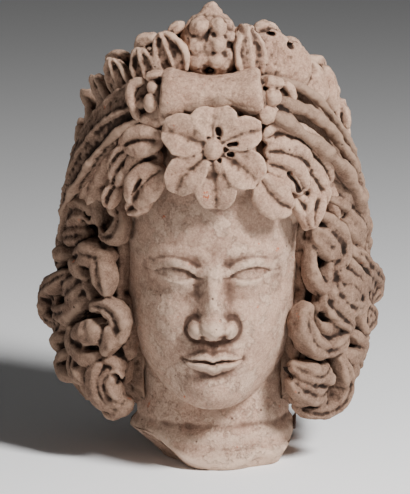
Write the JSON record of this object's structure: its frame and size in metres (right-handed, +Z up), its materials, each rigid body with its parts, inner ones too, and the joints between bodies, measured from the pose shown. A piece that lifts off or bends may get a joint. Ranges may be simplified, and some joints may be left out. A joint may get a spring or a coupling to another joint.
{
  "type": "terracotta head",
  "caption": "Sculpted head broken at the neck, with a full face, curling locks, a wreath with a large flower, a corded headband with a waisted clasp and a leafy crown.",
  "frame": {"origin": "on the flat of the broken neck, which the head rests on, under the middle of the crown", "axes": "+Z up from the neck to the jewel, the face looks along -Y, +X to the viewer's right when facing it"},
  "size_m": [0.2341, 0.2264, 0.33],
  "materials": {
    "fired_clay": "matte"
  },
  "bodies": {
    "root": {"terracotta_head": "fired_clay"}
  },
  "joints": []
}
